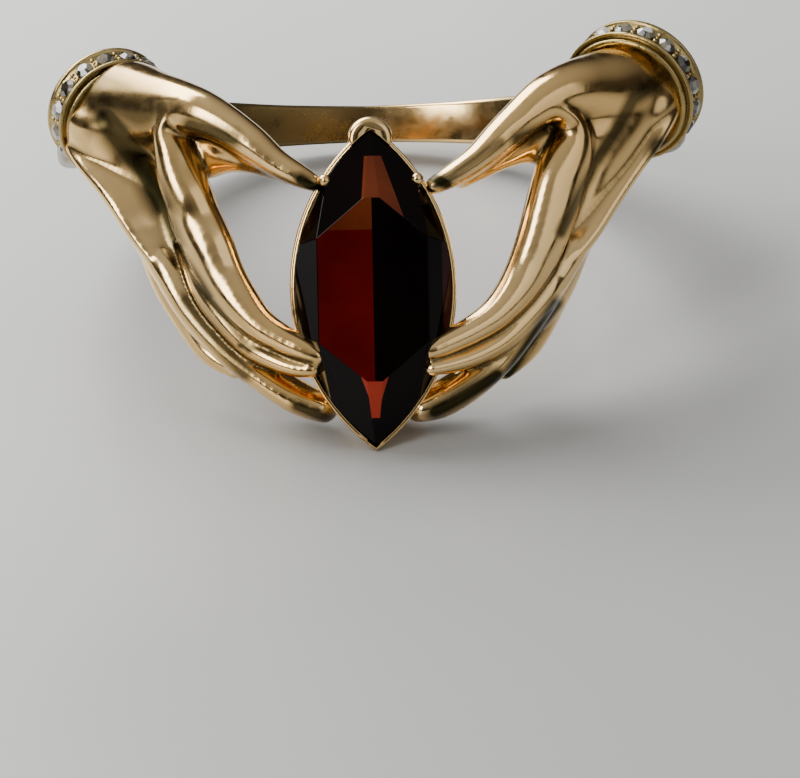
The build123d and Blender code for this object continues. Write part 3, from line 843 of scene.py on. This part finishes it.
def garnetStone():
    bm = bmesh.new()
    bm.from_mesh(frame["nodes"]["garnet"].data)
    bmesh.ops.transform(bm, matrix=wornFrame.inverted(), verts=bm.verts)
    bmesh.ops.remove_doubles(bm, verts=bm.verts, dist=garnetLook["merge"])
    bmesh.ops.dissolve_limit(bm, angle_limit=radians(garnetLook["flat"]), verts=bm.verts, edges=bm.edges)
    sharp = [e for e in bm.edges
             if len(e.link_faces) == 2 and e.calc_face_angle() > radians(garnetLook["sharp"])]
    bmesh.ops.bevel(bm, geom=sharp, offset=garnetLook["worn"], segments=garnetLook["wornCuts"], profile=0.5,
                    affect="EDGES", material=-1)
    for place, normal in garnetCuts:
        bmesh.ops.bisect_plane(bm, geom=bm.verts[:] + bm.edges[:] + bm.faces[:],
                               plane_co=stoneMiddle + Vector(place), plane_no=Vector(normal))
    bm.normal_update()
    for face in bm.faces:
        face.material_index = list(garnetPaintedTones).index(garnetPaintedTone(face))
    materials = [garnetMaterial(name) for name in garnetPaintedTones]
    finishPiece(newPiece(bm, "garnetStone"), materials, "garnet")


garnetStone()

# Cuff stones: the CAD stones, each of which shows a tone of its own from dark to pale, painted to stand in for
# the dark and bright reflections of clear stones
cuffStoneLook = {
    "rough": 0.06, "bend": 2.0, "cells": 2600.0,
    "tones": [(0.0, (0.02, 0.018, 0.012)), (0.45, (0.16, 0.14, 0.10)), (0.70, (0.40, 0.39, 0.36))],
}


def cuffStoneMaterial():
    material, tree, shader, coords = startMaterial("cuffStone")
    cells = addNode(tree, "TexVoronoi", {"Vector": coords, "Scale": cuffStoneLook["cells"]}).outputs["Color"]
    tone = toneRamp(tree, cells, cuffStoneLook["tones"], "CONSTANT")
    setSockets(tree, shader, {"Roughness": cuffStoneLook["rough"], "IOR": cuffStoneLook["bend"],
                              "Base Color": tone})
    return material


cuffStone = cuffStoneMaterial()
for name, node in frame["nodes"].items():
    if name.startswith("cuff_stone"):
        node.data.materials.clear()
        node.data.materials.append(cuffStone)
print("stones done")

# Table: painted light falloff, paler towards the back left where the window light falls and darker towards the
# front right, with a slow drift
tableLook = {
    "half": 0.6, "rough": 0.35, "slope": (-11.0, 18.0, 0.0), "drift": 60.0, "driftShare": 0.3, "from": -0.25,
    "to": 0.75, "dark": (0.34, 0.34, 0.33), "pale": (0.61, 0.61, 0.598),
}


def tableMaterial():
    material, tree, shader, coords = startMaterial("paleTable")
    # Painted light falloff across the table
    slope = addNode(tree, "VectorMath", {0: coords, 1: tableLook["slope"]}, operation="DOT_PRODUCT")
    drift = addNode(tree, "TexNoise", {"Vector": coords, "Scale": tableLook["drift"]})
    total = addNode(tree, "Math", {
        0: drift.outputs["Fac"], 1: tableLook["driftShare"], 2: slope.outputs["Value"],
    }, operation="MULTIPLY_ADD")
    share = addNode(tree, "MapRange", {
        "Value": total.outputs["Value"], "From Min": tableLook["from"], "From Max": tableLook["to"]})
    tone = toneRamp(tree, share.outputs["Result"], [(0.0, tableLook["dark"]), (1.0, tableLook["pale"])])
    setSockets(tree, shader, {"Roughness": tableLook["rough"], "Base Color": tone})
    return material


bm = bmesh.new()
bmesh.ops.create_grid(bm, x_segments=1, y_segments=1, size=tableLook["half"])
floor = newPiece(bm, "table")
floor.data.materials.append(tableMaterial())
print("table done")

# Light: a large soft window at the back left, a card at the front left, a wide weak card at the front right and
# a grey room. Each lamp has its place, its size and its power, and all look at the ring
lamps = {
    "windowLight": ((-0.13, 0.12, 0.17), (0.24, 0.20), 1.6),
    "cardLight": ((-0.18, -0.19, 0.17), (0.10, 0.20), 0.6),
    "rightCard": ((0.20, -0.20, 0.16), (0.30, 0.26), 0.20),
}
lampAim = Vector((0, 0, 0.004))
roomTones = [(0.0, (0.02, 0.018, 0.015)), (0.35, (0.05, 0.045, 0.04)), (1.0, (0.55, 0.55, 0.55))]

for name, (place, size, watts) in lamps.items():
    light = bpy.data.lights.new(name, "AREA")
    light.shape = "RECTANGLE"
    light.size, light.size_y = size
    light.energy = watts
    lamp = bpy.data.objects.new(name, light)
    lamp.location = place
    lamp.rotation_euler = (lampAim - Vector(place)).to_track_quat("-Z", "Y").to_euler()
    bpy.context.scene.collection.objects.link(lamp)
world = bpy.data.worlds.new("room")
bpy.context.scene.world = world
world.use_nodes = True
direction = addNode(world.node_tree, "TexCoord", {}).outputs["Generated"]
height = addNode(world.node_tree, "SeparateXYZ", {"Vector": direction}).outputs["Z"]
setSockets(world.node_tree, world.node_tree.nodes["Background"], {
    "Color": toneRamp(world.node_tree, height, roomTones), "Strength": 1.0})
print("light done")

# Camera: in the plane of the shank, in front of the middle of the finger hole, aimed to the photo's framing
view = {
    "away": 112.0, "pixelsAcross": 800.0, "focal": 3175.0, "roll": 1.2, "side": 24.5, "down": 262.6,
    "far": 3140.0, "sensor": 36.0, "nearest": 0.001,
}
cameraData = bpy.data.cameras.new("camera")
cameraData.sensor_width = view["sensor"]
cameraData.lens = view["sensor"] * view["focal"] / view["pixelsAcross"]
cameraData.clip_start = view["nearest"]
camera = bpy.data.objects.new("camera", cameraData)
spot = wornFrame @ Vector((0, -view["away"], 0))
aim = wornFrame @ Vector((view["side"], view["far"] - view["away"], -view["down"]))
looking = (aim - spot).normalized()
levelRight = (wornRight * cos(radians(view["roll"])) - wornUp * sin(radians(view["roll"]))).normalized()
cameraUp = levelRight.cross(looking).normalized()
cameraTurn = Matrix((looking.cross(cameraUp), cameraUp, -looking)).transposed().to_4x4()
camera.matrix_world = Matrix.Translation(spot) @ cameraTurn
bpy.context.scene.collection.objects.link(camera)
bpy.context.scene.camera = camera
print("camera done")
